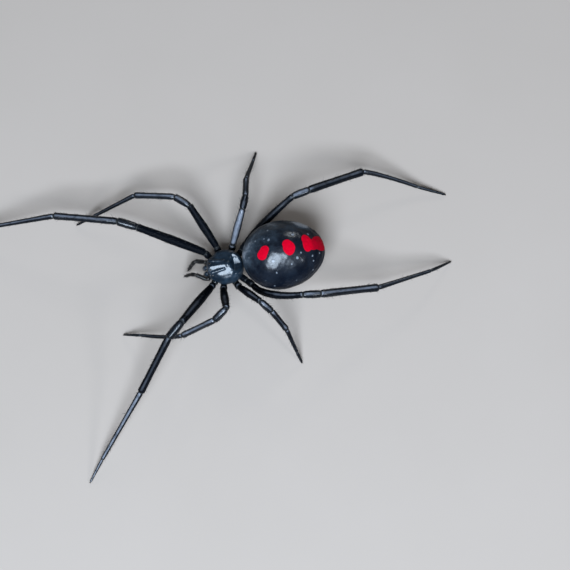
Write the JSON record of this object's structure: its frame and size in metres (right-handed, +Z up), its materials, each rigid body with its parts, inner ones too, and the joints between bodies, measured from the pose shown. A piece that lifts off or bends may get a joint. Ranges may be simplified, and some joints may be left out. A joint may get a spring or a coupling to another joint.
{
  "type": "black widow spider",
  "caption": "Female black widow spider at life size, standing still on spread glossy black legs, with a round black abdomen that carries a row of red marks.",
  "frame": {"origin": "middle of the whole spider's box, at the level of the floor that its feet stand on", "axes": "+Z up from the floor; -X towards the head and +X towards the rear, along the body; -Y towards the spider's left side, so +Y is its right side"},
  "size_m": [0.04, 0.025, 0.0064],
  "materials": {
    "body_shell": "glossy blue-black shell, finely wrinkled",
    "leg_shell": "glossy black, with fine bristles and paler joints",
    "abdomen_skin": "smooth satin black skin with red marks and sparse short hairs",
    "feeler_shell": "satin dark brown-black",
    "soft_joint": "matt dark brown skin",
    "eye_lens": "polished black lens"
  },
  "bodies": {
    "root": {"carapace": "body_shell", "sternum": "body_shell", "abdomen": "abdomen_skin", "pedicel": "soft_joint", "spinnerets": "soft_joint", "chelicera_left": "body_shell", "pedipalp_left": "feeler_shell", "chelicera_right": "body_shell", "pedipalp_right": "feeler_shell", "eye_front_middle_left": "eye_lens", "eye_front_middle_right": "eye_lens", "eye_front_side_left": "eye_lens", "eye_front_side_right": "eye_lens", "eye_rear_middle_left": "eye_lens", "eye_rear_middle_right": "eye_lens", "eye_rear_side_left": "eye_lens", "eye_rear_side_right": "eye_lens", "leg1_left_femur": "leg_shell", "leg1_left_patella": "leg_shell", "leg1_left_tibia": "leg_shell", "leg1_left_metatarsus": "leg_shell", "leg1_left_tarsus": "leg_shell", "leg1_right_femur": "leg_shell", "leg1_right_patella": "leg_shell", "leg1_right_tibia": "leg_shell", "leg1_right_metatarsus": "leg_shell", "leg1_right_tarsus": "leg_shell", "leg2_left_femur": "leg_shell", "leg2_left_patella": "leg_shell", "leg2_left_tibia": "leg_shell", "leg2_left_metatarsus": "leg_shell", "leg2_left_tarsus": "leg_shell", "leg2_right_femur": "leg_shell", "leg2_right_patella": "leg_shell", "leg2_right_tibia": "leg_shell", "leg2_right_metatarsus": "leg_shell", "leg2_right_tarsus": "leg_shell", "leg3_left_femur": "leg_shell", "leg3_left_patella": "leg_shell", "leg3_left_tibia": "leg_shell", "leg3_left_metatarsus": "leg_shell", "leg3_left_tarsus": "leg_shell", "leg3_right_femur": "leg_shell", "leg3_right_patella": "leg_shell", "leg3_right_tibia": "leg_shell", "leg3_right_metatarsus": "leg_shell", "leg3_right_tarsus": "leg_shell", "leg4_left_femur": "leg_shell", "leg4_left_patella": "leg_shell", "leg4_left_tibia": "leg_shell", "leg4_left_metatarsus": "leg_shell", "leg4_left_tarsus": "leg_shell", "leg4_right_femur": "leg_shell", "leg4_right_patella": "leg_shell", "leg4_right_tibia": "leg_shell", "leg4_right_metatarsus": "leg_shell", "leg4_right_tarsus": "leg_shell"}
  },
  "joints": []
}
